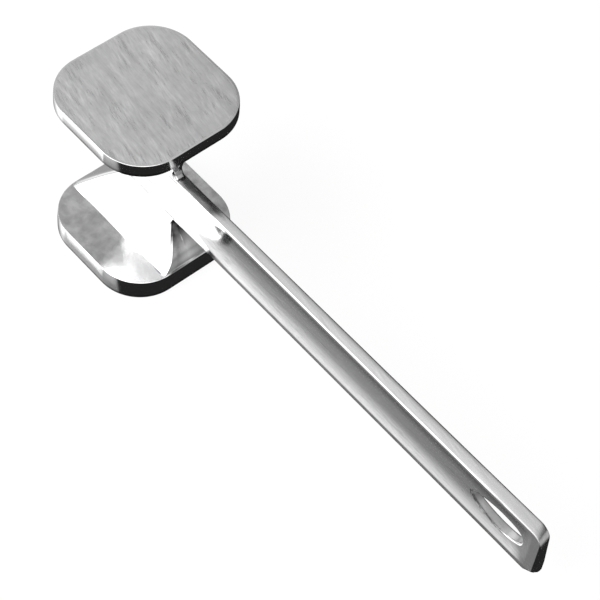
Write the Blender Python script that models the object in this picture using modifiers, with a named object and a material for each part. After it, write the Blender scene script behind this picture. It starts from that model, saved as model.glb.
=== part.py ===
"""A meat mallet: two rounded square striking plates held apart by a pair of
waisted pedestals, with a deep flat handle bar running out between them.

Metres, +Z up.  The part stands on its toothed plate with the smooth plate on top
and the handle pointing along +X.  The origin is on the surface that it stands on,
under the middle of the whole length, and Y = 0 is its plane of symmetry.
"""

import math

import bmesh
import bpy
import numpy as np
from mathutils import Matrix

# Striking plates
PLATE_SIDE = 0.058
PLATE_CORNER_RADIUS = 0.0183
PLATE_EDGE_RADIUS = 0.00085
SMOOTH_PLATE_THICKNESS = 0.0058
TOOTHED_PLATE_THICKNESS = 0.0096
PLATE_SPACING = 0.0640

# Pyramid teeth, sunk in the toothed plate inside a plain border
TOOTH_HEIGHT = 0.0032
TOOTH_PITCH = 0.0048
TOOTH_TIP_WIDTH = 0.0008
TOOTH_VALLEY_WIDTH = 0.0003
TOOTH_ROOT_DEPTH = 0.0001
TOOTH_BORDER = 0.0045

# Pedestals, measured from the head's vertical axis
FOOT_INSET = 0.0005
FOOT_WIDTH = 0.0250
LOWER_FOOT_SWEEP = 0.0126
UPPER_FOOT_SWEEP = 0.0068
NECK_FRONT = 0.0105
NECK_BACK = 0.0188
NECK_FILLET_RADIUS = 0.0035

# Handle bar
HANDLE_REACH = 0.2105
HANDLE_HEIGHT = 0.0238
HANDLE_HEAD_WIDTH = 0.0045
HANDLE_TAIL_WIDTH = 0.0056
HANDLE_EDGE_RADIUS = 0.0011
TAIL_UPPER_RADIUS = 0.0055
TAIL_LOWER_RADIUS = 0.0026
TAIL_END_RADIUS = 0.0013

# Shallow trough along each side of the handle
TROUGH_DEPTH = 0.0012
TROUGH_RIM = 0.0015
TROUGH_START = 0.018
TROUGH_RUN_IN = 0.034
TROUGH_RUN_OUT = 0.010
TROUGH_TAIL_MARGIN = 0.0055

# Hang hole: a teardrop with its point towards the head, and rounded rims
HOLE_LENGTH = 0.0235
HOLE_HEIGHT = 0.0090
HOLE_TAIL_MARGIN = 0.0087
HOLE_RIM_RADIUS = 0.0010

# Clearance between pieces that sit face to face, and how far a cutter runs past
SEAT_GAP = 0.0003
CUTTER_OVERRUN = 0.002

# Places that follow from the sizes above
HEAD_HEIGHT = TOOTHED_PLATE_THICKNESS + PLATE_SPACING + SMOOTH_PLATE_THICKNESS
OVERALL_LENGTH = PLATE_SIDE / 2 + HANDLE_REACH
HEAD_X = PLATE_SIDE / 2 - OVERALL_LENGTH / 2
HANDLE_Z = HEAD_HEIGHT / 2
LOWER_FOOT_Z = TOOTHED_PLATE_THICKNESS + SEAT_GAP
LOWER_NECK_Z = HANDLE_Z - HANDLE_HEIGHT / 2 - SEAT_GAP
UPPER_NECK_Z = HANDLE_Z + HANDLE_HEIGHT / 2 + SEAT_GAP
UPPER_FOOT_Z = TOOTHED_PLATE_THICKNESS + PLATE_SPACING - SEAT_GAP
TROUGH_END = HANDLE_REACH - TROUGH_TAIL_MARGIN
HOLE_POINT_X = HEAD_X + HANDLE_REACH - HOLE_TAIL_MARGIN - HOLE_LENGTH
HOLE_FACE_Y = HANDLE_TAIL_WIDTH / 2 - TROUGH_DEPTH

# Counts of the facets that the curved surfaces are built with
CORNER_STEPS = 10
EDGE_STEPS = 2
PEDESTAL_LEVELS = 14
TROUGH_STEPS = 8
RUN_IN_STEPS = 7
RUN_OUT_STEPS = 3
TAIL_STEPS = 5
TEARDROP_STEPS = 20
RIM_STEPS = 4

# Shapes of curves, as exponents and shares of the sizes that they follow
FLANK_EXPONENT = 2
HOLE_POINT_EXPONENT = 0.5
HOLE_FLARE_SLOPE = 2
TROUGH_NOSE_SHARE = 0.25
TROUGH_RIM_SHARE = 0.1
SMOOTH_ANGLE = math.radians(35)
BEVEL_ANGLE = math.radians(60)
FLAT_ANGLE = math.radians(0.5)
WELD_DISTANCE = 0.00001


def clear_scene():
    """Removes every object, so that the part starts from an empty scene."""
    for obj in list(bpy.data.objects):
        bpy.data.objects.remove(obj, do_unlink=True)


def make_collection(name):
    collection = bpy.data.collections.new(name)
    bpy.context.scene.collection.children.link(collection)
    return collection


def make_material(name, color, roughness, metallic):
    """A Principled material with a plain colour, roughness and metallic value."""
    material = bpy.data.materials.new(name)
    material.use_nodes = True
    shader = material.node_tree.nodes["Principled BSDF"]
    shader.inputs["Base Color"].default_value = (*color, 1)
    shader.inputs["Roughness"].default_value = roughness
    shader.inputs["Metallic"].default_value = metallic
    return material


def add_object(name, mesh, collection):
    obj = bpy.data.objects.new(name, mesh)
    collection.objects.link(obj)
    return obj


def finish_part(obj, material):
    """Gives a part its material and smooth shading that keeps the crisp edges."""
    obj.data.materials.append(material)
    obj.data.shade_smooth()
    obj.data.set_sharp_from_angle(angle=SMOOTH_ANGLE)


def hide_cutter(obj):
    obj.hide_render = True
    obj.display_type = "WIRE"


def add_boolean(obj, name, operation, cutter):
    modifier = obj.modifiers.new(name, "BOOLEAN")
    modifier.operation = operation
    modifier.object = cutter
    modifier.solver = "EXACT"


def slab(name, outline, thickness, placement, collection):
    """A flat outline, given as XY points, thickened evenly to both sides of its
    plane and then moved by the placement matrix."""
    curve = bpy.data.curves.new(name, "CURVE")
    curve.dimensions = "2D"
    curve.fill_mode = "BOTH"
    curve.extrude = thickness / 2
    spline = curve.splines.new("POLY")
    spline.points.add(len(outline) - 1)
    for point, (x, y) in zip(spline.points, outline):
        point.co = (x, y, 0, 1)
    spline.use_cyclic_u = True
    guide = add_object(name + "_outline", curve, collection)
    graph = bpy.context.evaluated_depsgraph_get()
    mesh = bpy.data.meshes.new_from_object(guide.evaluated_get(graph))
    bpy.data.objects.remove(guide, do_unlink=True)
    shape = bmesh.new()
    shape.from_mesh(mesh)
    bmesh.ops.remove_doubles(shape, verts=shape.verts, dist=WELD_DISTANCE)
    bmesh.ops.dissolve_limit(
        shape, angle_limit=FLAT_ANGLE, verts=shape.verts, edges=shape.edges
    )
    bmesh.ops.recalc_face_normals(shape, faces=shape.faces)
    shape.to_mesh(mesh)
    shape.free()
    mesh.transform(placement)
    return add_object(name, mesh, collection)


def loft(name, rings, collection):
    """A closed body through rings of equally many points, with flat ends."""
    count = len(rings[0])
    shape = bmesh.new()
    rows = [[shape.verts.new(point) for point in ring] for ring in rings]
    for low, high in zip(rows, rows[1:]):
        for i in range(count):
            j = (i + 1) % count
            shape.faces.new((low[i], low[j], high[j], high[i]))
    shape.faces.new(rows[0])
    shape.faces.new(rows[-1])
    bmesh.ops.recalc_face_normals(shape, faces=shape.faces)
    mesh = bpy.data.meshes.new(name)
    shape.to_mesh(mesh)
    shape.free()
    return add_object(name, mesh, collection)


def rounded_square(side, radius):
    """Points round a square with arcs at its corners."""
    outline = []
    centre = side / 2 - radius
    for quarter in range(4):
        middle = math.pi / 4 + quarter * math.pi / 2
        x = math.copysign(centre, math.cos(middle))
        y = math.copysign(centre, math.sin(middle))
        for step in range(CORNER_STEPS + 1):
            angle = (quarter + step / CORNER_STEPS) * math.pi / 2
            outline.append((x + radius * math.cos(angle), y + radius * math.sin(angle)))
    return outline


def striking_plate(name, thickness, bottom_z, material, collection):
    """A rounded square plate with its rims eased by a small radius."""
    placement = Matrix.Translation((HEAD_X, 0, bottom_z + thickness / 2))
    outline = rounded_square(PLATE_SIDE, PLATE_CORNER_RADIUS)
    plate = slab(name, outline, thickness, placement, collection)
    rim = plate.modifiers.new("eased_rims", "BEVEL")
    rim.width = PLATE_EDGE_RADIUS
    rim.segments = EDGE_STEPS
    rim.limit_method = "ANGLE"
    rim.angle_limit = BEVEL_ANGLE
    finish_part(plate, material)
    return plate


def inside_field(x, y, side, radius):
    """Whether a point lies inside a rounded square centred on the head's axis."""
    corner = side / 2 - radius
    past_x = abs(x) - corner
    past_y = abs(y) - corner
    if past_x > 0 and past_y > 0:
        return math.hypot(past_x, past_y) < radius
    return max(past_x, past_y) < radius


def pyramid_teeth(field_side, field_radius, collection):
    """Every whole pyramid that fits in the tooth field, tips down, in one mesh."""
    across = math.floor(field_side / TOOTH_PITCH)
    places = [(i - (across - 1) / 2) * TOOTH_PITCH for i in range(across)]
    foot_width = TOOTH_PITCH - TOOTH_VALLEY_WIDTH
    spread = (foot_width - TOOTH_TIP_WIDTH) / TOOTH_HEIGHT
    root_width = foot_width + spread * TOOTH_ROOT_DEPTH
    length = TOOTH_HEIGHT + TOOTH_ROOT_DEPTH
    shape = bmesh.new()
    for x in places:
        for y in places:
            reach_x = abs(x) + foot_width / 2
            reach_y = abs(y) + foot_width / 2
            if not inside_field(reach_x, reach_y, field_side, field_radius):
                continue
            turn = Matrix.Rotation(math.pi / 4, 4, "Z")
            bmesh.ops.create_cone(
                shape,
                cap_ends=True,
                segments=4,
                radius1=TOOTH_TIP_WIDTH / math.sqrt(2),
                radius2=root_width / math.sqrt(2),
                depth=length,
                matrix=Matrix.Translation((HEAD_X + x, y, length / 2)) @ turn,
            )
    mesh = bpy.data.meshes.new("teeth")
    shape.to_mesh(mesh)
    shape.free()
    return add_object("teeth", mesh, collection)


def add_teeth(plate, cutters):
    """Sinks a field into the underside and stands the pyramids in it, their tips
    level with the plain border."""
    field_side = PLATE_SIDE - 2 * TOOTH_BORDER
    field_radius = PLATE_CORNER_RADIUS - TOOTH_BORDER
    field = slab(
        "tooth_field",
        rounded_square(field_side, field_radius),
        2 * TOOTH_HEIGHT,
        Matrix.Translation((HEAD_X, 0, 0)),
        cutters,
    )
    teeth = pyramid_teeth(field_side, field_radius, cutters)
    add_boolean(plate, "tooth_field", "DIFFERENCE", field)
    add_boolean(plate, "teeth", "UNION", teeth)
    hide_cutter(field)
    hide_cutter(teeth)


def fillet_spread(height, radius):
    """How far a fillet of this radius spreads at this height above its floor."""
    if height >= radius:
        return 0
    return radius - math.sqrt(radius**2 - (radius - height) ** 2)


def pedestal(name, foot_z, neck_z, foot_sweep, material, collection):
    """A waisted block from a wide foot on a plate to a neck as thin as the handle.
    Its flanks and its tail end sweep in with the square of the way to the foot,
    and its front slants evenly.  A fillet runs the tail end out along the handle."""
    rise = abs(neck_z - foot_z)
    foot_reach = PLATE_SIDE / 2 - FOOT_INSET
    rings = []
    for share in np.sin(np.linspace(0, math.pi / 2, PEDESTAL_LEVELS)):
        sweep = (1 - share) ** FLANK_EXPONENT
        side = (HANDLE_HEAD_WIDTH + (FOOT_WIDTH - HANDLE_HEAD_WIDTH) * sweep) / 2
        back = min(foot_reach, NECK_BACK + foot_sweep * sweep)
        back += fillet_spread(rise * (1 - share), NECK_FILLET_RADIUS)
        front = -foot_reach + (foot_reach - NECK_FRONT) * share
        corners = ((front, -side), (back, -side), (back, side), (front, side))
        z = foot_z + (neck_z - foot_z) * share
        rings.append([(HEAD_X + x, y, z) for x, y in corners])
    block = loft(name, rings, collection)
    finish_part(block, material)
    return block


def handle_half_width(reach):
    """Half the handle's width, which grows evenly from the neck to the tail."""
    share = max(0, (reach - NECK_BACK) / (HANDLE_REACH - NECK_BACK))
    return (HANDLE_HEAD_WIDTH + (HANDLE_TAIL_WIDTH - HANDLE_HEAD_WIDTH) * share) / 2


def tail_drop(reach, radius):
    """How far the handle's outline has fallen along an arc at a corner of its tail."""
    past = max(0, reach - (HANDLE_REACH - radius))
    return radius - math.sqrt(max(0, radius**2 - past**2))


def trough_opening(reach):
    """How deep and how tall the trough is there, as shares of its full section."""
    run_in = min(1, max(0, (reach - TROUGH_START) / TROUGH_RUN_IN))
    run_out = min(1, max(0, (TROUGH_END - reach) / TROUGH_RUN_OUT))
    depth_share = math.sin(run_in * math.pi / 2) * math.sin(run_out * math.pi / 2)
    tall_share = TROUGH_NOSE_SHARE + (1 - TROUGH_NOSE_SHARE) * math.sqrt(run_in)
    return depth_share, tall_share


def handle_section(reach):
    """The handle's cross-section: flat top and bottom, rounded edges and an even
    hollow down each side, as deep as a parabola."""
    half_width = handle_half_width(reach) - tail_drop(reach, TAIL_END_RADIUS)
    top = HANDLE_HEIGHT / 2 - tail_drop(reach, TAIL_UPPER_RADIUS)
    bottom = HANDLE_HEIGHT / 2 - tail_drop(reach, TAIL_LOWER_RADIUS)
    depth_share, tall_share = trough_opening(reach)
    hollow_half = (HANDLE_HEIGHT / 2 - TROUGH_RIM) * tall_share
    edge = []
    for angle in np.linspace(math.pi / 2, 0, EDGE_STEPS + 1):
        y = half_width - HANDLE_EDGE_RADIUS * (1 - math.cos(angle))
        edge.append((y, HANDLE_EDGE_RADIUS * (1 - math.sin(angle))))
    side = [(y, top - inset) for y, inset in edge]
    upper = min(hollow_half, top - HANDLE_EDGE_RADIUS * (1 + TROUGH_RIM_SHARE))
    lower = min(hollow_half, bottom - HANDLE_EDGE_RADIUS * (1 + TROUGH_RIM_SHARE))
    for share in np.linspace(1, -1, TROUGH_STEPS + 1):
        y = half_width - TROUGH_DEPTH * depth_share * (1 - share**2)
        side.append((y, share * (upper if share > 0 else lower)))
    side += [(y, inset - bottom) for y, inset in reversed(edge)]
    ring = side + [(-y, z) for y, z in reversed(side)]
    return [(HEAD_X + reach, y, HANDLE_Z + z) for y, z in ring]


def handle_stations():
    """Distances from the head's axis where the handle's section is laid out."""
    run_in = TROUGH_START + TROUGH_RUN_IN * np.linspace(0, 1, RUN_IN_STEPS + 1) ** 2
    run_out = TROUGH_END - TROUGH_RUN_OUT * np.linspace(1, 0, RUN_OUT_STEPS + 1)
    stations = {-NECK_FRONT, *run_in.tolist(), *run_out.tolist()}
    for radius in (TAIL_UPPER_RADIUS, TAIL_LOWER_RADIUS, TAIL_END_RADIUS):
        turn = np.sin(np.linspace(0, math.pi / 2, TAIL_STEPS + 1))
        stations.update((HANDLE_REACH - radius * (1 - turn)).tolist())
    return sorted(stations)


def teardrop(spread):
    """A drop with its point towards the head, pushed outwards by the spread.
    Over a turning angle its length runs with the cosine, and its height with the
    sine times a power of the half angle's sine, which draws one end to a point."""
    turn = np.linspace(0, 2 * math.pi, 2 * TEARDROP_STEPS, endpoint=False)
    lengths = HOLE_LENGTH / 2 * (1 - np.cos(turn))
    heights = np.sin(turn) * np.sin(turn / 2) ** HOLE_POINT_EXPONENT
    heights *= HOLE_HEIGHT / 2 / heights.max()
    outline = np.stack([lengths, heights], axis=1)
    along = np.roll(outline, -1, axis=0) - np.roll(outline, 1, axis=0)
    outward = np.stack([-along[:, 1], along[:, 0]], axis=1)
    outward /= np.linalg.norm(outward, axis=1)[:, None]
    return (outline + spread * outward).tolist()


def hang_hole(collection):
    """The hole's cutter: one throat that flares to both sides round its rims."""
    turns = np.linspace(0, math.pi / 2, RIM_STEPS + 1).tolist()
    throat = HOLE_FACE_Y - HOLE_RIM_RADIUS
    flare = []
    for turn in turns:
        spread = HOLE_RIM_RADIUS * (1 - math.cos(turn))
        flare.append((throat + HOLE_RIM_RADIUS * math.sin(turn), spread))
    past = TROUGH_DEPTH + CUTTER_OVERRUN
    flare.append((HOLE_FACE_Y + past, HOLE_RIM_RADIUS + past * HOLE_FLARE_SLOPE))
    across = [(-y, spread) for y, spread in reversed(flare)] + flare
    rings = [
        [(HOLE_POINT_X + x, y, HANDLE_Z + z) for x, z in teardrop(spread)]
        for y, spread in across
    ]
    cutter = loft("hang_hole", rings, collection)
    hide_cutter(cutter)
    return cutter


def handle_bar(material, collection, cutters):
    """The bar that is held between the necks, with its hang hole near the tail."""
    rings = [handle_section(reach) for reach in handle_stations()]
    bar = loft("handle_bar", rings, collection)
    add_boolean(bar, "hang_hole", "DIFFERENCE", hang_hole(cutters))
    finish_part(bar, material)
    return bar


def main():
    clear_scene()
    parts = make_collection("meat_mallet")
    cutters = make_collection("meat_mallet_cutters")
    smooth_finish = make_material("satin_plate", (0.74, 0.74, 0.75), 0.34, 1)
    toothed_finish = make_material("cast_plate", (0.66, 0.66, 0.67), 0.38, 1)
    pedestal_finish = make_material("polished_pedestal", (0.83, 0.83, 0.84), 0.16, 1)
    handle_finish = make_material("polished_handle", (0.80, 0.80, 0.81), 0.20, 1)

    toothed = striking_plate(
        "toothed_plate", TOOTHED_PLATE_THICKNESS, 0, toothed_finish, parts
    )
    add_teeth(toothed, cutters)
    striking_plate(
        "smooth_plate",
        SMOOTH_PLATE_THICKNESS,
        TOOTHED_PLATE_THICKNESS + PLATE_SPACING,
        smooth_finish,
        parts,
    )
    pedestal(
        "lower_pedestal",
        LOWER_FOOT_Z,
        LOWER_NECK_Z,
        LOWER_FOOT_SWEEP,
        pedestal_finish,
        parts,
    )
    pedestal(
        "upper_pedestal",
        UPPER_FOOT_Z,
        UPPER_NECK_Z,
        UPPER_FOOT_SWEEP,
        pedestal_finish,
        parts,
    )
    handle_bar(handle_finish, parts, cutters)


main()
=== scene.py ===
"""A meat mallet of bright cast metal, dressed for its picture.

Two rounded square striking plates, a waisted pedestal on each, and a deep flat
handle bar between them.  Every piece is a surface worked out as a grid of points,
in metres, in the frame of the solids: +X runs along the handle to its tail, +Z up
from the toothed plate to the smooth one.  The pedestals and the handle bar are
worked out about the head's middle, and then moved there.
"""

import math

import bmesh
import bpy
import numpy as np
from mathutils import Matrix, Vector


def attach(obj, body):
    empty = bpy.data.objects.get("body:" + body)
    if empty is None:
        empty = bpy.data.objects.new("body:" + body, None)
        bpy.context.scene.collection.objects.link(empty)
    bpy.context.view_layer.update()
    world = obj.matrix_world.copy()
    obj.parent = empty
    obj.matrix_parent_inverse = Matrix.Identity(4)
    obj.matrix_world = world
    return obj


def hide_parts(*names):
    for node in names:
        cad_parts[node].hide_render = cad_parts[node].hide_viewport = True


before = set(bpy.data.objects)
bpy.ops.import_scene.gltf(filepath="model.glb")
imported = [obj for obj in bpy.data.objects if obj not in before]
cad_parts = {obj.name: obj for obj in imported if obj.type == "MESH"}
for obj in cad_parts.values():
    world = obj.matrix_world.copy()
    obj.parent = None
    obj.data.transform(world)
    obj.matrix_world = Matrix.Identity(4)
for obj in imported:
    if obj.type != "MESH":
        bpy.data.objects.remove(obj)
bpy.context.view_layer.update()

MM = 0.001
WHITE = (1, 1, 1, 1)

# The head
PLATE_SIDE = 58 * MM
PLATE_CORNER = 18.3 * MM
PLATE_RIM = 0.17 * MM
SMOOTH_THICK = 5.8 * MM
TOOTHED_THICK = 9.6 * MM
HEAD_HEIGHT = 79.4 * MM
HEAD_X = -90.75 * MM
HANDLE_Z = HEAD_HEIGHT / 2

# The handle bar, and the pedestals' necks that meet it
REACH = 210.5 * MM
BAR_HALF_HEIGHT = 11.9 * MM
BAR_EDGE = 1.1 * MM
BAR_CROWN = 0.09 * MM
NECK_FRONT = 10.5 * MM
NECK_BACK = 18.8 * MM

# Points closer than this are one, and faces slimmer than this go
WELD = 0.002 * MM
SLIVER = 0.001 * MM
SHARP_ANGLE = math.radians(40)


# Meshes


def grid_faces(rows, columns, first, closed):
    """The four-cornered faces between the neighbours of a grid of points."""
    across = columns if closed else columns - 1
    row = np.arange(rows - 1)[:, None] * columns
    here = np.arange(across)[None, :]
    after = (here + 1) % columns
    corners = [row + here, row + after, row + columns + after, row + columns + here]
    return first + np.stack(corners, axis=-1).reshape(-1, 4)


def make_piece(name, grids, material, node):
    """One mesh from grids of points, welded where they meet, faces outwards.
    Each grid is (points, closed round its columns, wear, and grime with painted shade at its
    points)."""
    points, faces, wear, grime_and_shade, first = [], [], [], [], 0
    for grid, closed, worn, dirty in grids:
        rows, columns = grid.shape[:2]
        faces.append(grid_faces(rows, columns, first, closed))
        points.append(grid.reshape(-1, 3))
        wear.append(np.broadcast_to(worn, (rows, columns)).ravel())
        grime_and_shade.append(np.broadcast_to(dirty, (rows, columns)).ravel())
        first += rows * columns
    mesh = bpy.data.meshes.new(name)
    mesh.from_pydata(np.concatenate(points).tolist(), [], np.concatenate(faces).tolist())
    for mark, values in (("wear", wear), ("grime_and_shade", grime_and_shade)):
        layer = mesh.attributes.new(mark, "FLOAT", "POINT")
        layer.data.foreach_set("value", np.concatenate(values).astype(np.float32))
    shape = bmesh.new()
    shape.from_mesh(mesh)
    bmesh.ops.remove_doubles(shape, verts=shape.verts, dist=WELD)
    bmesh.ops.dissolve_degenerate(shape, edges=shape.edges, dist=SLIVER)
    bmesh.ops.recalc_face_normals(shape, faces=shape.faces)
    shape.to_mesh(mesh)
    shape.free()
    mesh.shade_smooth()
    mesh.set_sharp_from_angle(angle=SHARP_ANGLE)
    mesh.materials.append(material)
    piece = bpy.data.objects.new(name, mesh)
    bpy.context.scene.collection.objects.link(piece)
    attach(piece, "root")
    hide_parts(node)
    return piece


def smooth_step(value, low, high):
    """0 at low, 1 at high, and a smooth S between them, which may run either way."""
    share = np.clip((value - low) / (high - low), 0, 1)
    return share * share * (3 - 2 * share)


def arc(steps, start=0.0, end=math.pi / 2):
    """Evenly spaced angles, a quarter turn of them unless told otherwise."""
    return np.linspace(start, end, steps + 1)


# Plates

CORNER_SIGNS = ((1, 1), (-1, 1), (-1, -1), (1, -1))
# How far in from the rim each ring of a face lies, in mm.  The last is its middle.
FACE_STEPS = np.array([0, 0.1, 0.3, 0.5, 0.9, 1.4, 2, 2.7, 3.5, 4.5, 6, 9, 14, 20, 26, 29])
TEETH_DEPTH = 3.2 * MM
TEETH_BORDER = 4.5 * MM
TOOTH_PITCH = 4.8 * MM


def square_ring(inset):
    """Points round the plate's outline, moved inwards: four straight sides, and
    four quarter circles about centres that stay put."""
    centre = PLATE_SIDE / 2 - PLATE_CORNER
    radius = PLATE_CORNER - inset
    corners = []
    for quarter, signs in enumerate(CORNER_SIGNS):
        turn = quarter * math.pi / 2 + arc(28)
        circle = np.stack([np.cos(turn), np.sin(turn)], axis=1)
        corners.append(centre * np.array(signs) + radius * circle)
    way = np.linspace(0, 1, 9)[1:-1, None]
    outline = []
    for corner, following in zip(corners, corners[1:] + corners[:1]):
        outline += [corner, corner[-1] + way * (following[0] - corner[-1])]
    return np.concatenate(outline)


def plate_side(thick, low_rim, lean_height, lean, power, dull, foot_shade, foot_shade_height):
    """(inset, height, grime and painted shade) down a plate's side: a small quarter circle, a
    shoulder that leans in towards the top by a power of the way, the upright side, and a
    quarter circle at the foot.  Painted shade darkens the side up to a height above the foot,
    over an even dullness."""
    rows = []
    for turn in arc(5):
        inset = PLATE_RIM * (1 - math.sin(turn))
        rows.append((inset, thick - PLATE_RIM * (1 - math.cos(turn))))
    for share in [0.01, *np.linspace(0, 1, 15)[1:-1], 0.99]:
        rows.append((0.0, thick - PLATE_RIM - share * (thick - PLATE_RIM - low_rim)))
    for turn in arc(6, math.pi / 2, 0):
        rows.append((low_rim * (1 - math.sin(turn)), low_rim * (1 - math.cos(turn))))
    inset, height = np.array(rows).T
    above = np.clip((height - thick + lean_height) / lean_height, 0, 1)
    # Painted shade darkens the side towards its foot.
    grime_and_shade = dull + foot_shade * smooth_step(height, foot_shade_height, foot_shade_height / 2)
    return np.stack([inset + lean * above**power, height, grime_and_shade], axis=1)


def plate_grid(levels, bottom_z):
    """The plate's outline at each level's inset and height above the bottom."""
    rings = []
    for inset, height in levels[:, :2]:
        ring = square_ring(inset)
        heights = np.full(len(ring), bottom_z + height)
        rings.append(np.column_stack([HEAD_X + ring[:, 0], ring[:, 1], heights]))
    return np.stack(rings)


def face_rings(rim, lift=0.0):
    """A plate's flat face from its rim to its middle, every ring a smaller copy of
    the rim, lifted as far as asked."""
    middle = np.array([HEAD_X, 0, rim[0, 2]])
    left = 1 - FACE_STEPS[:, None, None] / FACE_STEPS[-1]
    grid = middle + left * (rim - middle)
    grid[:, :, 2] += lift
    return grid


def face_values(steps, values):
    """A value for each ring of a face, given at some steps in from the rim, in mm."""
    return np.interp(FACE_STEPS, steps, values)[:, None]


def smooth_plate(material):
    """A rounded square slab: a face that rolls off to its rims, and a fair side."""
    roll = 0.10 * MM
    levels = plate_side(
        thick=SMOOTH_THICK - roll,
        low_rim=0.35 * MM,
        lean_height=4.6 * MM,
        lean=0.17 * MM,
        power=2.4,
        dull=0.0,
        foot_shade=0.6,
        foot_shade_height=1.8 * MM,
    )
    side = plate_grid(levels, HEAD_HEIGHT - SMOOTH_THICK)
    lift = face_values((0, 0.1, 0.5, 2, 4.5), (0, 0, 0.045, 0.08, 0.10)) * MM
    face_wear = face_values((0, 0.5, 0.9), (1, 0.9, 0))
    grids = [
        (side, True, 1.0, levels[:, 2:]),
        (face_rings(side[0], lift), True, face_wear, 0.24),
        (face_rings(side[-1]), True, face_values((0, 1), (1, 0.8)), 0.0),
    ]
    return make_piece(
        "smooth_plate_brushed", grids, material, "smooth_plate"
    )


def inner_painted_shade(x, y):
    """Painted shade on the toothed plate's inner face, from x and y about its middle:
    grey and dark reflections set into the colour.  A grey area up to a line across the
    handle's way, which bends towards the tail at the near rim, a dark area beyond the
    handle, and a faint band along the line."""
    bend = 3.5 * MM * smooth_step(y, -19 * MM, -21 * MM)
    grey = smooth_step(x - bend, 8 * MM, 4.5 * MM)
    beyond = smooth_step(y, 0, 4 * MM) * smooth_step(x, -12 * MM, -4 * MM)
    band = smooth_step(x, 3 * MM, 7 * MM) * smooth_step(x, 17 * MM, 11 * MM)
    return np.maximum.reduce([0.54 * grey, 0.62 * beyond, 0.27 * band])


def toothed_plate(material):
    """A thicker slab of the same outline.  Its underside is sunk inside a plain
    border, down a wall with eased edges, to a floor that carries the teeth."""
    levels = plate_side(
        thick=TOOTHED_THICK,
        low_rim=1.4 * MM,
        lean_height=5.2 * MM,
        lean=0.33 * MM,
        power=1.5,
        dull=0.14,
        foot_shade=0.65,
        foot_shade_height=2.8 * MM,
    )
    side = plate_grid(levels, 0)
    # Inset, height and wear, over the border and down the wall
    under = [(1.6 * MM, 0.0, 0.6), (2.7 * MM, 0.0, 0.2)]
    ease = 0.35 * MM
    for turn in arc(4):
        inset = TEETH_BORDER - ease * (1 - math.sin(turn))
        under.append((inset, ease * (1 - math.cos(turn)), 0.8))
    for turn in arc(4):
        inset = TEETH_BORDER + ease * (1 - math.cos(turn))
        under.append((inset, TEETH_DEPTH - ease * (1 - math.sin(turn)), 0.0))
    under = np.array(under)
    recess = plate_grid(under, 0)
    inner = face_rings(side[0])
    grids = [
        (side, True, 1.0, levels[:, 2:]),
        (np.stack([side[-1], recess[0]]), True, 0.6, 0.0),
        (recess, True, under[:, 2:], 0.0),
        # The inner face's colour carries painted shade: grey and dark reflections.
        (inner, True, 0.4, inner_painted_shade(inner[..., 0] - HEAD_X, inner[..., 1])),
        (face_rings(recess[-1]), True, 0.0, 0.3),
    ]
    grids += [(tooth_grid() + middle, True, 0.5, 0.0) for middle in tooth_middles()]
    return make_piece(
        "toothed_plate_cast", grids, material, "toothed_plate"
    )


def tooth_middles():
    """The middles of the pyramids that fit whole in the sunk, rounded field."""
    count = 10
    places = (np.arange(count) - (count - 1) / 2) * TOOTH_PITCH
    x, y = (axis.ravel() for axis in np.meshgrid(places, places))
    reach = np.abs([x, y]) + TOOTH_PITCH / 2
    corner = PLATE_CORNER - TEETH_BORDER
    half = PLATE_SIDE / 2 - TEETH_BORDER
    past = np.maximum(reach - (half - corner), 0)
    fits = (np.hypot(*past) < corner) & (reach.max(axis=0) < half)
    return np.stack([x[fits], y[fits], np.zeros(fits.sum())], axis=1)


def tooth_grid():
    """One pyramid, tip down: eight-cornered rings that shrink evenly from its root
    to its blunt tip.  Each ring has a height, half a width and a cut corner."""
    root = TEETH_DEPTH + 0.1 * MM
    heights = np.array([root, root, TEETH_DEPTH, 0.25 * MM, 0.06 * MM, 0.0, 0.0])
    half = np.array([0.0, 2.3, 2.25, 0.55, 0.42, 0.3, 0.0])[:, None] * MM
    blunt = np.array([0.0, 0.3, 0.3, 0.2, 0.16, 0.1, 0.0])[:, None] * MM
    sign_x = np.array([1, 1, -1, -1, -1, -1, 1, 1])
    sign_y = np.array([1, 1, 1, 1, -1, -1, -1, -1])
    cut_x = np.array([0, 1, 1, 0, 0, 1, 1, 0])
    x = HEAD_X + sign_x * (half - cut_x * blunt)
    y = sign_y * (half - (1 - cut_x) * blunt)
    z = np.broadcast_to(heights[:, None], x.shape)
    return np.stack([x, y, z], axis=-1)


# Pedestals

PEDESTAL_FRONT = 28.4 * MM
# Half the width at the neck, and what the foot adds to it
NECK_HALF_WIDTH = 2.256
FOOT_FLARE = 10.244
# How far a pedestal's two ends sink into their neighbours
FOOT_SINK = 0.6 * MM
NECK_SINK = 0.35 * MM
# Shares of the way from the middle plane to an end's edge, and the ridge there
END_SHARES = np.array([0.0, 0.02, 0.05, 0.1, 0.3, 0.6])
RIDGE = np.array([0.12, 0.09, 0.03, 0, 0, 0]) * MM


def fillet_spread(height, radius):
    """How far a fillet spreads at a height above its floor, from Pythagoras."""
    fall = np.clip(radius - height, 0, None)
    return radius - np.sqrt(np.maximum(radius**2 - fall**2, 0))


def edge_drop(depth, radius):
    """How far a rounded edge lies inside the flat side, at a depth from the edge:
    the rest of a quarter circle."""
    left = np.clip(radius - depth, 0, radius)
    return radius - np.sqrt(radius**2 - left**2)


def pedestal_half_width(share):
    """Half the width at a share of the way from foot to neck: it falls with the
    square of what is left of the way, and a small fillet widens the foot."""
    plain = (NECK_HALF_WIDTH + FOOT_FLARE * (1 - np.clip(share, 0, 1)) ** 2) * MM
    return plain + fillet_spread(np.maximum(share, 0) * 20 * MM, 0.8 * MM)


def row_outward(line):
    """The outward normals of a line of (x, z) points, from their neighbours."""
    along = np.gradient(line, axis=0)
    normal = np.stack([along[:, 1], -along[:, 0]], axis=1)
    return normal / np.linalg.norm(normal, axis=1)[:, None]


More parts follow.
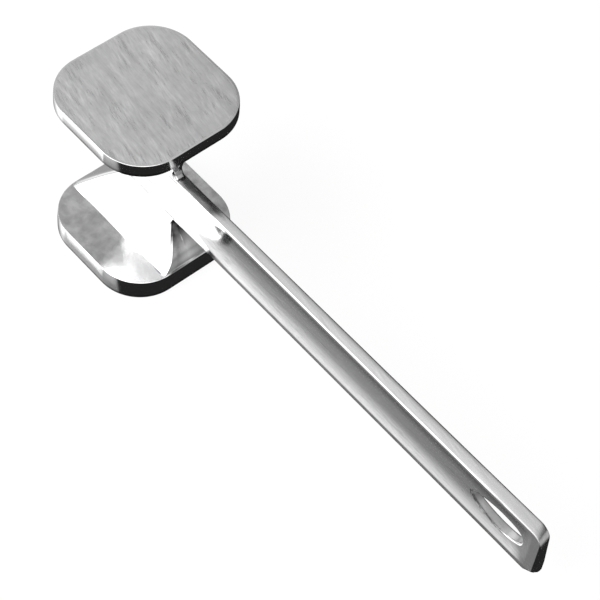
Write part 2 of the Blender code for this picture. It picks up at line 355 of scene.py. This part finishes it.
def pedestal_painted_shade(darkened, columns, share, height, rise, neck_fillet):
    """Painted shade on a pedestal: round its neck at the tail end, down the corners of the
    tail end, and at the foot of its flanks.  A row has 6 points from the middle out
    across the tail end, 7 round its edge, 20 along the flank, 7 round the front's
    edge and 6 in to the middle, and then the other side's, the other way round."""
    neck = darkened * smooth_step(rise - height, 4.6 * neck_fillet, 2.2 * neck_fillet)
    foot = 0.55 * smooth_step(height, 0.9 * MM, 0.2 * MM)
    up_it = np.stack([neck, np.full_like(share, 0.45 * darkened), foot])
    up_it = np.concatenate([up_it[:, :1], up_it, up_it[:, -1:]], axis=1)[..., None]
    round_it = np.zeros((3, columns))
    round_it[0, :10] = round_it[0, -9:] = 1.0
    corner = np.array([0, 0.1, 0.1, 0.2, 0.5, 1, 1, 1])
    round_it[1, :8], round_it[1, -7:] = corner, corner[:0:-1]
    round_it[2, 12:34] = round_it[2, -33:-11] = 1.0
    return (up_it * round_it[:, None]).max(axis=0)


def pedestal(name, node, material, foot_z, neck_z, sweep, foot_back, neck_fillet, darkened):
    """A waisted block.  Each row runs once round it: across the tail end, round a
    quarter circle set in from the end's outline, along the flank to the front, and
    back on the other side.  The flanks and the tail end's sweep fall in with the
    square of what is left of the way up, and a fillet runs the tail end out along
    the handle.  A fine ridge runs up the middle of the tail end."""
    rise = abs(neck_z - foot_z)
    share = np.concatenate(
        [
            0.04 * np.linspace(0, 1, 7) ** 2,
            np.linspace(0.04, 0.86, 28)[1:],
            1 - 0.14 * np.linspace(1, 0, 26)[1:] ** 2,
        ]
    )
    up = math.copysign(1, neck_z - foot_z)
    height = rise * share
    plain = NECK_BACK + sweep * (1 - share) ** 2
    limit = foot_back - 0.27 * height
    back = (plain + limit - np.sqrt((plain - limit) ** 2 + (1.2 * MM) ** 2)) / 2
    back = back + fillet_spread(rise - height, neck_fillet)
    front = -PEDESTAL_FRONT + (PEDESTAL_FRONT - NECK_FRONT) * share
    height[0] = -FOOT_SINK
    height[-1] = rise + NECK_SINK
    tail_line = np.stack([back, height], axis=1)
    front_line = np.stack([front, height], axis=1)
    tail_out = row_outward(tail_line)
    front_out = -row_outward(front_line)
    depth = BAR_EDGE * (1 - np.cos(arc(6)))

    def edge_points(line, out):
        inner = line[:, None, :] - depth[None, :, None] * out[:, None, :]
        wide = pedestal_half_width(inner[..., 1] / rise)
        side = wide - edge_drop(depth[None, :], BAR_EDGE)
        return np.concatenate([inner, side[..., None]], axis=2)

    tail = edge_points(tail_line, tail_out)
    nose = edge_points(front_line, front_out)[:, ::-1]
    way = np.linspace(0, 1, 22)[None, 1:-1, None]
    flank = tail[:, -1:, :2] + way * (nose[:, :1, :2] - tail[:, -1:, :2])
    wide = pedestal_half_width(flank[..., 1] / rise)
    flank = np.concatenate([flank, wide[..., None]], axis=2)
    narrow = np.ones((1, len(END_SHARES), 3))
    narrow[0, :, 2] = END_SHARES
    end = tail[:, :1] * narrow
    ridge_fade = smooth_step(share, 0.3, 0.45) * smooth_step(share, 0.85, 0.7)
    ridge = RIDGE[None, :, None] * ridge_fade[:, None, None]
    end[..., :2] += ridge * tail_out[:, None, :]
    face = nose[:, -1:] * narrow[:, ::-1]
    half_row = np.concatenate([end, tail, flank, nose, face], axis=1)
    mirrored = half_row[:, ::-1] * np.array([1, 1, -1])
    rows = np.concatenate([half_row, mirrored[:, 1:-1]], axis=1)
    closing = rows[[0, -1]] * np.array([1, 1, 0])
    rows = np.concatenate([closing[:1], rows, closing[1:]], axis=0)
    along, upwards, across = np.moveaxis(rows, -1, 0)
    grid = np.stack([HEAD_X + along, across, foot_z + up * upwards], axis=-1)
    # Painted shade in the neck's fillet, down the tail end's corners and along the flanks'
    # foot.
    dark_share = pedestal_painted_shade(darkened, grid.shape[1], share, height, rise, neck_fillet)
    return make_piece(
        name, [(grid, True, 0.4, dark_share)], material, node
    )


# Handle bar

TROUGH_DEPTH = 1.2 * MM
# Half the trough's height above and below its middle, and how softly its edge turns
TROUGH_TOP = (10.4 * MM, 0.1)
TROUGH_BOTTOM = (9.5 * MM, 0.04)
TROUGH_START = 18 * MM
TROUGH_RUN_IN = 34 * MM
TROUGH_END = 206 * MM
TROUGH_RUN_OUT = 7 * MM
HOLE_POINT = 177.2 * MM
HOLE_LENGTH = 25.2 * MM
HOLE_HEIGHT = 9.8 * MM
TAIL_START = 205 * MM
TAIL_RADIUS = 5.5 * MM
HOLE_TURN = arc(48, 0, math.pi)
HOLE_RIM = (0.35 + 0.75 * smooth_step(HOLE_TURN, 1.9, 2.9)) * MM


def hole_outline(spread):
    """The upper half of the hang hole from its point to its round end, as (x, z):
    a drop whose length runs with the cosine of the turning angle and whose height
    runs with its sine and the root of the half angle's sine, pushed out along its
    own normals."""
    turn = np.concatenate([[-HOLE_TURN[1]], HOLE_TURN, [math.pi + HOLE_TURN[1]]])
    length = HOLE_LENGTH / 2 * (1 - np.cos(turn))
    height = np.sin(turn) * np.sqrt(np.abs(np.sin(turn / 2)))
    height *= HOLE_HEIGHT / 2 / height.max()
    line = np.stack([HOLE_POINT + length, height], axis=1)
    along = line[2:] - line[:-2]
    normal = np.stack([-along[:, 1], along[:, 0]], axis=1)
    normal /= np.linalg.norm(normal, axis=1)[:, None]
    return line[1:-1] + spread[:, None] * normal


def bar_half_width(x):
    """Half the bar's width: even at the head, then growing evenly to the tail."""
    return (2.25 + 0.55 * np.clip((x - NECK_BACK) / (REACH - NECK_BACK), 0, 1)) * MM


def bar_side(x, z, edge):
    """Half the bar's width at a place on its side: the plain width, less a trough
    as deep as a parabola across, that opens and closes as a quarter sine along.
    edge is the trough's half height and how softly its edge turns."""
    run_in = np.clip((x - TROUGH_START) / TROUGH_RUN_IN, 0, 1)
    run_out = np.clip((TROUGH_END - x) / TROUGH_RUN_OUT, 0, 1)
    deep = np.sin(run_in * math.pi / 2) * np.sin(run_out * math.pi / 2)
    tall = edge[0] * (0.25 + 0.75 * np.sqrt(run_in))
    hollow = 1 - np.clip(np.abs(z) / tall, 0, 1.15) ** 2
    hollow = (hollow + np.hypot(hollow, edge[1])) / (1 + math.hypot(1, edge[1]))
    return bar_half_width(x) - TROUGH_DEPTH * deep * hollow


def past_necks(x):
    """0 where the pedestals meet the bar, and 1 further along it."""
    return smooth_step(x, 19 * MM, 32 * MM)


def bar_edge(x):
    """The radius of the bar's long edges: crisp where the pedestals meet the bar,
    rounder beyond them, and a little less round towards the tail."""
    rounder = 0.38 * past_necks(x)
    return (0.15 + rounder - 0.15 * smooth_step(x, 186 * MM, TAIL_START)) * MM


def bar_strip(x, lowest, top, edge):
    """Half of the bar's skin, from the hole's line up one side, round the edge,
    across the top and down the other side, at stations x.  Past the pedestals the
    top is crowned by a parabola across, which is lower towards the tail."""
    side_share = 1 - (1 - np.linspace(0, 1, 15)[None, :]) ** 1.5
    radius = bar_edge(x)[:, None]
    crown = past_necks(x) - 0.65 * smooth_step(x, 160 * MM, 195 * MM)
    crown = BAR_CROWN * crown
    top = top - crown
    crease = np.minimum(edge[0], top[:, None] - radius - 0.2 * MM)
    z = lowest[:, None] + side_share * (crease - lowest[:, None])
    rim = crease + np.array([[0.2, 0.5, 0.95, 1.0]]) * (top[:, None] - radius - crease)
    z = np.concatenate([z, rim], axis=1)
    y = bar_side(x[:, None], z, edge)
    turn = arc(7)[None, 1:]
    edge_y = y[:, -1:] - radius * (1 - np.cos(turn))
    edge_z = z[:, -1:] + radius * np.sin(turn)
    way = np.linspace(1, 0, 5)[None, 1:]
    face_y = edge_y[:, -1:] * way
    face_z = edge_z[:, -1:] + crown[:, None] * (1 - way**2)
    y = np.concatenate([y, edge_y, face_y], axis=1)
    z = np.concatenate([z, edge_z, face_z], axis=1)
    y = np.concatenate([-y, y[:, -2::-1]], axis=1)
    z = np.concatenate([z, z[:, -2::-1]], axis=1)
    return np.stack([np.broadcast_to(x[:, None], y.shape), y, z], axis=-1)


def hole_wall(upper):
    """The skin inside the hang hole and its painted shade, ring by ring from one side of the
    bar to the other: each rim turns in through a quarter circle to a straight
    throat.  Painted shade darkens the hole towards its point, most on its rims."""
    rings = []
    turns = arc(6)
    for side in (-1, 1):
        rows = []
        for turn in turns:
            out = hole_outline(HOLE_RIM * (1 - math.sin(turn)))
            drop = HOLE_RIM * (1 - math.cos(turn))
            halves = []
            for edge, up in ((TROUGH_TOP, 1), (TROUGH_BOTTOM, -1)):
                y = bar_side(upper[:, 0], upper[:, 1], edge) - drop
                halves.append(np.stack([out[:, 0], side * y, up * out[:, 1]], axis=1))
            rows.append(np.concatenate([halves[0], halves[1][-2:0:-1]]))
        rings += rows if side < 0 else rows[::-1]
    near_point = 1 - smooth_step(HOLE_TURN, 1.6, 2.3)
    throat = 0.45 + 0.35 * smooth_step(HOLE_TURN, 1.0, 0.3)
    rim = np.full_like(near_point, 0.92)
    level = np.stack([rim] * (len(turns) - 1) + [throat]) * near_point
    level = np.concatenate([level, level[::-1]])
    return np.stack(rings), np.concatenate([level, level[:, -2:0:-1]], axis=1)


def file_tail(points):
    """Works the tail as a file would: the end leans a little, and a flat is filed
    across the lower near corner, where points past its plane are brought back."""
    half_width = 2.8 * MM
    x, y, z = points[..., 0], points[..., 1], points[..., 2]
    across = (y + half_width) / (2 * half_width)
    end = 210.3 * MM + across * (-0.3 * MM - 0.075 * z)
    end = np.minimum(end, REACH)
    x = x + (end - REACH) * smooth_step(x, 200 * MM, REACH)
    points = np.stack([x, y, z], axis=-1)
    flat_normal = np.array([0.435, -0.641, -0.637])
    past = points @ flat_normal - 98.79 * MM
    soft = 0.25 * MM
    back = 0.5 * (past + np.sqrt(past**2 + soft**2)) - 0.5 * soft
    return points - np.maximum(back, 0)[..., None] * flat_normal


def handle_bar(material):
    """The bar's skin in two strips, above and below the hang hole's line, with the
    hole's own wall between them, and its two ends closed to the middle plane."""
    outline = hole_outline(HOLE_RIM)
    spaced = np.concatenate(
        [
            -NECK_FRONT + BAR_EDGE * (1 - np.sin(arc(5, math.pi / 2, 0))),
            np.array([0, 8, 14]) * MM,
            np.linspace(18 * MM, 52 * MM, 18),
            np.linspace(52 * MM, 176 * MM, 32)[1:],
        ]
    )
    before_tail = np.linspace(outline[-1, 0], TAIL_START, 5)[1:]
    bend = TAIL_START + TAIL_RADIUS * np.sin(arc(14))[1:]
    x = np.concatenate([spaced, outline[:, 0], before_tail, bend])
    lowest = np.zeros(len(x))
    lowest[len(spaced) : len(spaced) + len(outline)] = outline[:, 1]
    fall = np.clip(x - TAIL_START, 0, TAIL_RADIUS)
    top = BAR_HALF_HEIGHT - TAIL_RADIUS + np.sqrt(TAIL_RADIUS**2 - fall**2)
    foot = np.full(len(x), BAR_HALF_HEIGHT)
    tail_edge = 0.9 * MM
    end_drop = edge_drop(REACH - x, tail_edge) + edge_drop(x + NECK_FRONT, BAR_EDGE)
    strips = []
    for up, high, edge in ((1, top, TROUGH_TOP), (-1, foot, TROUGH_BOTTOM)):
        strip = bar_strip(x, lowest, high, edge)
        strip[..., 1] -= np.sign(strip[..., 1]) * np.minimum(
            end_drop[:, None], np.abs(strip[..., 1])
        )
        strip[..., 2] *= up
        flat = strip[[0, -1]] * np.array([1, 0, 1])
        strips.append(np.concatenate([flat[:1], strip, flat[1:]], axis=0))
    columns = strips[0].shape[1]
    # Towards the tail the upper long edges are rougher, which is wear below zero
    rougher = 3 * smooth_step(x, 172 * MM, 192 * MM)
    rougher = np.concatenate([rougher[:1], rougher, rougher[-1:]])[:, None]
    long_edges = np.zeros(columns)
    long_edges[18:24] = long_edges[-24:-18] = 1.0
    upper_wear = np.full(columns, 0.5)
    upper_wear[24:35] = 0.0
    # The lower strip carries painted shade between its trough and its edge
    lower_edge_shade = np.zeros(columns)
    lower_edge_shade[15:22] = lower_edge_shade[-22:-15] = 0.3
    # The hole's wall carries painted shade towards its point.
    wall, wall_shade = hole_wall(outline)
    shift = np.array([HEAD_X, 0, HANDLE_Z])
    upper, lower, wall = (file_tail(grid) + shift for grid in (*strips, wall))
    grids = [
        (upper, False, upper_wear - rougher * long_edges, 0.17 * rougher * long_edges),
        (lower, False, 0.3, lower_edge_shade),
        (wall, True, 0.6, wall_shade),
    ]
    return make_piece(
        "handle_bar_polished", grids, material, "handle_bar"
    )


# Nodes


def feed(node, **inputs):
    """Gives a node's inputs, by name or by number as at_0, a plain value each or the
    output that feeds it."""
    for key, value in inputs.items():
        place = int(key[3:]) if key.startswith("at_") else key.replace("_", " ")
        if isinstance(value, bpy.types.NodeSocket):
            node.id_data.links.new(value, node.inputs[place])
        else:
            node.inputs[place].default_value = value


def add_node(tree, kind, **values):
    """A node with its plain properties, and its inputs as feed takes them."""
    node = tree.nodes.new(kind)
    plain = [key for key in values if hasattr(node, key)]
    for key in plain:
        setattr(node, key, values[key])
    feed(node, **{key: values[key] for key in values if key not in plain})
    return node


def calculate(tree, operation, *sources, clamp=False):
    """The result of one sum on two or three sources."""
    inputs = {f"at_{place}": source for place, source in enumerate(sources)}
    node = add_node(tree, "ShaderNodeMath", operation=operation, use_clamp=clamp, **inputs)
    return node.outputs[0]


def rescale(tree, source, given=(0, 1), wanted=(0, 1), way="LINEAR"):
    """The source with its given range stretched to the wanted one, and kept inside
    it.  Either range may run down."""
    node = add_node(
        tree,
        "ShaderNodeMapRange",
        interpolation_type=way,
        at_0=source,
        at_1=given[0],
        at_2=given[1],
        at_3=wanted[0],
        at_4=wanted[1],
    )
    return node.outputs[0]


def noise(tree, place, scale, detail, **values):
    """The value of a noise at a place."""
    node = add_node(
        tree, "ShaderNodeTexNoise", Vector=place, Scale=scale, Detail=detail, **values
    )
    return node.outputs[0]


def blend(tree, share, first, second):
    """One colour turned into another by a share."""
    node = add_node(
        tree, "ShaderNodeMix", data_type="RGBA", Factor=share, A=first, B=second
    )
    return node.outputs["Result"]


def new_group(name, inputs, outputs):
    """An empty node group with float sockets, and one vector socket to start."""
    group = bpy.data.node_groups.new(name, "ShaderNodeTree")
    add_socket = group.interface.new_socket
    add_socket("Vector", in_out="INPUT", socket_type="NodeSocketVector")
    for socket, value in inputs:
        made = add_socket(socket, in_out="INPUT", socket_type="NodeSocketFloat")
        made.default_value = value
    for socket in outputs:
        add_socket(socket, in_out="OUTPUT", socket_type="NodeSocketFloat")
    return group, group.nodes.new("NodeGroupInput"), group.nodes.new("NodeGroupOutput")


# Finishes

PIT_COLOR = (0.10, 0.10, 0.10, 1)
# The colour of grime, and of painted shade.
GRIME_AND_SHADE_COLOR = (0.06, 0.06, 0.06, 1)
WORN_ROUGHNESS = 0.12


def brush_marks():
    """Fine straight marks, as a belt leaves them: noise drawn out along one way in
    a fine and a coarse size, crossed by a second pass in patches."""
    group, given, made = new_group(
        "brush_marks",
        [("Turn", 0.0), ("Fineness", 1500.0), ("Length", 14.0)],
        ["Marks", "Patches"],
    )
    place, turn, fineness, length = (
        given.outputs[name] for name in ("Vector", "Turn", "Fineness", "Length")
    )
    slow = calculate(group, "DIVIDE", fineness, length)
    scale = add_node(
        group, "ShaderNodeCombineXYZ", at_0=slow, at_1=fineness, at_2=fineness
    )
    passes = []
    for further, size in ((0.0, 1.0), (0.0, 0.3), (0.21, 0.8)):
        turned = add_node(
            group,
            "ShaderNodeVectorRotate",
            rotation_type="Z_AXIS",
            Vector=place,
            Angle=calculate(group, "ADD", turn, further),
        )
        drawn = add_node(
            group,
            "ShaderNodeVectorMath",
            operation="MULTIPLY",
            at_0=turned.outputs[0],
            at_1=scale.outputs[0],
        )
        passes.append(noise(group, drawn.outputs[0], size, 3.0, Roughness=0.6))
    fine, coarse, second = passes
    patches = rescale(group, noise(group, place, 110.0, 3.0, Roughness=0.6), (0.38, 0.62))
    crossed = add_node(group, "ShaderNodeMix", at_0=patches, at_2=fine, at_3=second)
    both = calculate(group, "ADD", crossed.outputs[0], coarse)
    feed(made, Patches=patches, Marks=rescale(group, both, (0.7, 1.3)))
    return group


def cast_skin():
    """What casting leaves under a polish: a slow waviness, and a few tiny pits."""
    group, given, made = new_group("cast_skin", [("Size", 1.0)], ["Waves", "Pits"])
    sized = add_node(
        group,
        "ShaderNodeVectorMath",
        operation="SCALE",
        at_0=given.outputs["Vector"],
        Scale=given.outputs["Size"],
    )
    place = sized.outputs[0]
    cells = add_node(group, "ShaderNodeTexVoronoi", Vector=place, Scale=700.0)
    rare = rescale(group, noise(group, place, 260.0, 1.0), (0.70, 0.78))
    pit = rescale(group, cells.outputs["Distance"], (0.30, 0.12))
    feed(
        made,
        Waves=noise(group, place, 170.0, 4.0, Roughness=0.55),
        Pits=calculate(group, "MULTIPLY", rare, pit),
    )
    return group


BRUSH = brush_marks()
SKIN = cast_skin()


def metal(name, color, rough, turn, fineness, length, streak, wave, pits):
    """Aluminium with brush marks.  Colour and roughness wander with the marks, most
    where a patch of them bit hard.  Worn places are smoother and plain, and wear
    below zero is rougher than the finish.  Grime and painted shade are dark.  The
    marks and the casting's waviness lift the surface."""
    material = bpy.data.materials.new(name)
    material.use_nodes = True
    tree = material.node_tree
    shader = tree.nodes["Principled BSDF"]
    shader.inputs["Metallic"].default_value = 1.0
    place = add_node(tree, "ShaderNodeTexCoord").outputs["Object"]
    marks = add_node(
        tree,
        "ShaderNodeGroup",
        node_tree=BRUSH,
        Vector=place,
        Turn=math.radians(turn),
        Fineness=fineness,
        Length=length,
    )
    skin = add_node(tree, "ShaderNodeGroup", node_tree=SKIN, Vector=place)
    worn = add_node(tree, "ShaderNodeAttribute", attribute_name="wear").outputs["Fac"]
    dark_share = add_node(tree, "ShaderNodeAttribute", attribute_name="grime_and_shade").outputs["Fac"]
    bite = rescale(tree, marks.outputs["Patches"], wanted=(0.35, 1.15))
    fresh = rescale(tree, worn, wanted=(1.0, 0.1))
    depth = calculate(tree, "MULTIPLY", bite, fresh)
    scored = add_node(
        tree, "ShaderNodeMix", at_0=depth, at_2=0.5, at_3=marks.outputs["Marks"]
    ).outputs[0]

    darker = (*(c * (1 - 0.5 * streak) for c in color), 1)
    lighter = (*(min(1, c * (1 + streak)) for c in color), 1)
    tone = blend(tree, scored, darker, lighter)
    pocked = calculate(tree, "MULTIPLY", skin.outputs["Pits"], pits)
    pitted = blend(tree, pocked, tone, PIT_COLOR)
    uneven = rescale(tree, skin.outputs["Waves"], (0.35, 0.65), (0.7, 1.15))
    # Grime and painted shade darken the colour here.
    held = calculate(tree, "MULTIPLY", dark_share, uneven, clamp=True)
    darkened = blend(tree, held, pitted, GRIME_AND_SHADE_COLOR)

    grain = rescale(tree, scored, wanted=(rough * 0.8, rough * 1.2))
    gloss = add_node(
        tree,
        "ShaderNodeMix",
        clamp_factor=False,
        at_0=worn,
        at_2=grain,
        at_3=WORN_ROUGHNESS,
    )
    scratch = calculate(tree, "MULTIPLY", scored, 0.6 * streak)
    height = calculate(tree, "MULTIPLY_ADD", skin.outputs["Waves"], wave, scratch)
    bump = add_node(
        tree, "ShaderNodeBump", Strength=1.0, Distance=0.02 * MM, Height=height
    )
    feed(shader, Base_Color=darkened, Roughness=gloss.outputs[0], Normal=bump.outputs[0])
    return material


# Studio

FLOOR_HALF = 6.0
FLOOR_COLOR = (0.92, 0.92, 0.92, 1)
FLOOR_WHITE = 0.92
WORLD_LEVEL = 0.55
REFLECTOR_RADIUS = 5.0


def seen_white(tree, strength):
    """The share of plain white in what the camera, mirrors and glass see.  Here the
    floor and the world are hidden from mirrors, which see the reflector instead."""
    path = add_node(tree, "ShaderNodeLightPath").outputs
    seen = calculate(tree, "MAXIMUM", path["Is Camera Ray"], path["Is Glossy Ray"])
    every = calculate(tree, "MAXIMUM", seen, path["Is Transmission Ray"])
    return calculate(tree, "MULTIPLY", every, strength)


def studio_piece(name, points, faces, material):
    """A plain mesh of the studio, as an object."""
    mesh = bpy.data.meshes.new(name)
    mesh.from_pydata(points, [], faces)
    mesh.materials.append(material)
    piece = bpy.data.objects.new(name, mesh)
    bpy.context.scene.collection.objects.link(piece)
    return piece


def level_square(low_x, low_y, high_x, high_y, z):
    """The four corners of a level rectangle, and its one face."""
    corners = [(low_x, low_y, z), (high_x, low_y, z), (high_x, high_y, z), (low_x, high_y, z)]
    return corners, [(0, 1, 2, 3)]


def lay_floor():
    """A plain pale floor.  It shows white, and darkens only in the shadow.  Mirrors
    don't see it."""
    material = bpy.data.materials.new("pale_floor")
    material.use_nodes = True
    tree = material.node_tree
    shader = tree.nodes["Principled BSDF"]
    shader.inputs["Base Color"].default_value = FLOOR_COLOR
    shader.inputs["Roughness"].default_value = 0.9
    shader.inputs["Specular IOR Level"].default_value = 0.0
    glow = add_node(tree, "ShaderNodeEmission", Strength=1.0)
    mix = add_node(
        tree,
        "ShaderNodeMixShader",
        at_0=seen_white(tree, FLOOR_WHITE),
        at_1=shader.outputs[0],
        at_2=glow.outputs[0],
    )
    feed(tree.nodes["Material Output"], Surface=mix.outputs[0])
    square = level_square(-FLOOR_HALF, -FLOOR_HALF, FLOOR_HALF, FLOOR_HALF, 0)
    floor = studio_piece("studio_floor", *square, material)
    floor.visible_glossy = False


def light_world():
    """Even grey light all round, and plain white where the camera sees it.  Mirrors
    don't see it."""
    world = bpy.data.worlds.new("studio")
    bpy.context.scene.world = world
    world.use_nodes = True
    world.cycles_visibility.glossy = False
    tree = world.node_tree
    plain = tree.nodes["Background"]
    feed(plain, Color=WHITE, Strength=WORLD_LEVEL)
    white = add_node(tree, "ShaderNodeBackground", Strength=1.0, Color=WHITE)
    mix = add_node(
        tree,
        "ShaderNodeMixShader",
        at_0=seen_white(tree, 1.0),
        at_1=plain.outputs[0],
        at_2=white.outputs[0],
    )
    feed(tree.nodes["World Output"], Surface=mix.outputs[0])


def glow_material(name):
    """A material that only glows, and the node that glows."""
    material = bpy.data.materials.new(name)
    material.use_nodes = True
    tree = material.node_tree
    tree.nodes.remove(tree.nodes["Principled BSDF"])
    glow = add_node(tree, "ShaderNodeEmission", Color=WHITE)
    feed(tree.nodes["Material Output"], Surface=glow.outputs[0])
    return material, glow


def show_mirrors_only(piece):
    """Hides a piece of the studio from all but mirrors."""
    for sight in ("camera", "diffuse", "transmission", "volume_scatter", "shadow"):
        setattr(piece, "visible_" + sight, False)


# Each light of the reflector is a strength, where plain white is 1, and smooth
# limits on the direction: an axis, the value where the limit is 0, and where it is
# 1.  They were set against the picture, and stand for surroundings nobody knows.
FRONT = ("x", -0.62, -0.54)
NEAR = ("y", -0.42, -0.66)
NEARLY_DOWN = ("z", -0.55, -0.75)
REFLECTOR = [
    (0.02, [("x", -2.0, -1.5)]),
    (1.04, [("x", 0.06, -0.16), FRONT, NEAR, ("z", -0.86, -0.46)]),
    (0.40, [("x", -0.42, -0.47), FRONT, NEAR, ("z", -0.86, -0.46)]),
    (1.20, [("x", 0.62, 0.5), FRONT, NEAR, ("z", -0.55, -0.2)]),
    (0.75, [("x", -0.54, -0.62), ("y", 0.16, -0.4)]),
    (0.55, [("x", 0.5, 0.65), ("y", -0.2, -0.5), ("z", -0.3, 0.0)]),
    (1.00, [("x", -0.45, -0.47), ("y", -0.42, -0.47), ("z", -0.81, -0.76), ("z", -0.4, -0.55)]),
    (0.50, [("x", -0.51, -0.58), ("y", 0.3, 0.1), ("z", -0.78, -0.70), ("z", -0.4, -0.55)]),
    (0.17, [("x", -0.47, -0.5), ("y", 0.2, 0.3), ("z", 0.5, 0.6), ("z", 0.825, 0.77)]),
    (0.17, [("x", -0.46, -0.38), ("y", 0.49, 0.37), ("z", 0.3, 0.6)]),
    (0.60, [FRONT, ("y", -0.28, -0.34), ("y", -0.56, -0.48), ("z", 0.6, 0.7)]),
    (2.30, [FRONT, ("y", 0.16, -0.08), ("y", -0.66, -0.42), ("z", 0.05, 0.45)]),
    (0.62, [("y", -0.08, 0.16), ("y", 0.64, 0.50), ("z", 0.12, 0.5)]),
    (0.19, [("x", 0.02, -0.06), NEARLY_DOWN, ("y", 0.1, -0.36)]),
    (0.10, [("x", -0.22, -0.42), NEARLY_DOWN, ("y", 0.1, -0.36)]),
    (0.22, [("x", -0.42, -0.55), ("z", -0.6, -0.75), ("z", -0.9, -0.82), ("y", 0.55, 0.3)]),
    (0.36, [("x", -0.45, -0.7), ("z", -0.7, -0.45), ("z", 0.4, 0.1), ("y", -0.6, -0.2)]),
    (0.31, [("x", 0.45, 0.75), ("z", -0.65, -0.25), ("z", 0.35, 0.15), ("y", -0.3, 0.0)]),
    (0.12, [("y", -0.42, -0.02), ("z", 0.3, 0.0), ("z", -0.5, -0.2)]),
]


def hang_reflector():
    """The surroundings that the polish mirrors, which only mirrors see: a sphere
    round the studio whose glow is the sum of the reflector's lights, each its
    strength times its limits."""
    turn, rise = np.meshgrid(np.linspace(0, math.tau, 49), arc(24, -math.pi / 2))
    x, y, z = np.cos(rise) * np.cos(turn), np.cos(rise) * np.sin(turn), np.sin(rise)
    grid = REFLECTOR_RADIUS * np.stack([x, y, z], axis=-1)
    faces = grid_faces(*turn.shape, 0, False)
    material, glow = glow_material("reflector_glow")
    tree = material.node_tree
    place = add_node(tree, "ShaderNodeTexCoord").outputs["Object"]
    way = add_node(tree, "ShaderNodeVectorMath", operation="NORMALIZE", at_0=place)
    split = add_node(tree, "ShaderNodeSeparateXYZ", at_0=way.outputs[0])
    axes = dict(zip("xyz", split.outputs))
    level = None
    for strength, limits in REFLECTOR:
        part = None
        for axis, low, high in limits:
            step = rescale(tree, axes[axis], (low, high), way="SMOOTHSTEP")
            part = step if part is None else calculate(tree, "MULTIPLY", part, step)
        part = calculate(tree, "MULTIPLY", part, strength)
        level = part if level is None else calculate(tree, "ADD", level, part)
    feed(glow, Strength=level)
    material.cycles.emission_sampling = "NONE"
    points = grid.reshape(-1, 3).tolist()
    sphere = studio_piece("studio_reflector", points, faces.tolist(), material)
    show_mirrors_only(sphere)


def lay_card(name, corner, size, strength):
    """A small glowing card flat over the floor in front of the head, which only
    mirrors see."""
    x, y, z = corner
    wide, deep = size
    material, glow = glow_material(name)
    feed(glow, Strength=strength)
    square = level_square(x, y, x + wide, y + deep, z)
    card = studio_piece(name, *square, material)
    show_mirrors_only(card)


def soft_lamp(name, place, size, power):
    """A large square lamp that faces the floor under the middle of the mallet."""
    lamp = bpy.data.lights.new(name, "AREA")
    lamp.size = size
    lamp.energy = power
    thing = bpy.data.objects.new(name, lamp)
    thing.location = place
    thing.rotation_euler = (-Vector(place)).to_track_quat("-Z", "Y").to_euler()
    thing.visible_glossy = False
    bpy.context.scene.collection.objects.link(thing)


def place_camera():
    """The camera of the picture.  Its turn, height, roll and distance, and where the
    middle of the head lies in the picture, were worked out from the outlines of both
    plates and of the handle."""
    picture = 600
    head_across, head_down = 145.305, 164.187
    azimuth, elevation, roll = map(math.radians, (-47.231, 54.511, 7.459))
    focal, distance = 2025.375 / picture, 13 * PLATE_SIDE
    back = Vector(
        (
            math.cos(elevation) * math.cos(azimuth),
            math.cos(elevation) * math.sin(azimuth),
            math.sin(elevation),
        )
    )
    level = Vector((0, 0, 1)).cross(back).normalized()
    upright = back.cross(level)
    right = math.cos(roll) * level + math.sin(roll) * upright
    up = math.cos(roll) * upright - math.sin(roll) * level
    head = Vector((HEAD_X, 0, HANDLE_Z))
    off_right = (head_across - picture / 2) / picture / focal
    off_up = (picture / 2 - head_down) / picture / focal
    place = head + distance * (back - off_right * right - off_up * up)
    data = bpy.data.cameras.new("picture_camera")
    data.sensor_width = 36
    data.lens = focal * data.sensor_width
    data.clip_start, data.clip_end = 0.01, 50
    camera = bpy.data.objects.new("picture_camera", data)
    turned = Matrix((right, up, back)).transposed()
    camera.matrix_world = Matrix.Translation(place) @ turned.to_4x4()
    bpy.context.scene.collection.objects.link(camera)
    bpy.context.scene.camera = camera


# The picture

satin = metal(
    "satin_brushed",
    color=(0.78, 0.78, 0.785),
    rough=0.30,
    turn=5.5,
    fineness=1500,
    length=8,
    streak=0.6,
    wave=0.5,
    pits=0.0,
)
cast = metal(
    "cast_polished",
    color=(0.93, 0.93, 0.935),
    rough=0.16,
    turn=5.5,
    fineness=1200,
    length=8,
    streak=0.06,
    wave=3.0,
    pits=0.3,
)
pedestal_polish = metal(
    "pedestal_polished",
    color=(0.95, 0.95, 0.955),
    rough=0.16,
    turn=0,
    fineness=1800,
    length=8,
    streak=0.05,
    wave=1.4,
    pits=0.3,
)
handle_polish = metal(
    "handle_polished",
    color=(0.82, 0.82, 0.825),
    rough=0.18,
    turn=0,
    fineness=1300,
    length=40,
    streak=0.4,
    wave=0.8,
    pits=0.3,
)

smooth_plate(satin)
toothed_plate(cast)
pedestal(
    "upper_pedestal_polished",
    "upper_pedestal",
    pedestal_polish,
    foot_z=HEAD_HEIGHT - SMOOTH_THICK,
    neck_z=HANDLE_Z + BAR_HALF_HEIGHT,
    sweep=6.8 * MM,
    foot_back=25.6 * MM,
    neck_fillet=3.5 * MM,
    darkened=0.55,
)
pedestal(
    "lower_pedestal_polished",
    "lower_pedestal",
    pedestal_polish,
    foot_z=TOOTHED_THICK,
    neck_z=HANDLE_Z - BAR_HALF_HEIGHT,
    sweep=12.6 * MM,
    foot_back=28.05 * MM,
    neck_fillet=3.0 * MM,
    darkened=0.97,
)
handle_bar(handle_polish)

lay_floor()
light_world()
hang_reflector()
lay_card("floor_card", corner=(-0.165, -0.057, 0.001), size=(0.052, 0.020), strength=1.1)
soft_lamp("key_softbox", place=(-0.3, -1.1, 1.1), size=1.2, power=42)
place_camera()
bpy.context.scene.view_settings.view_transform = "Standard"
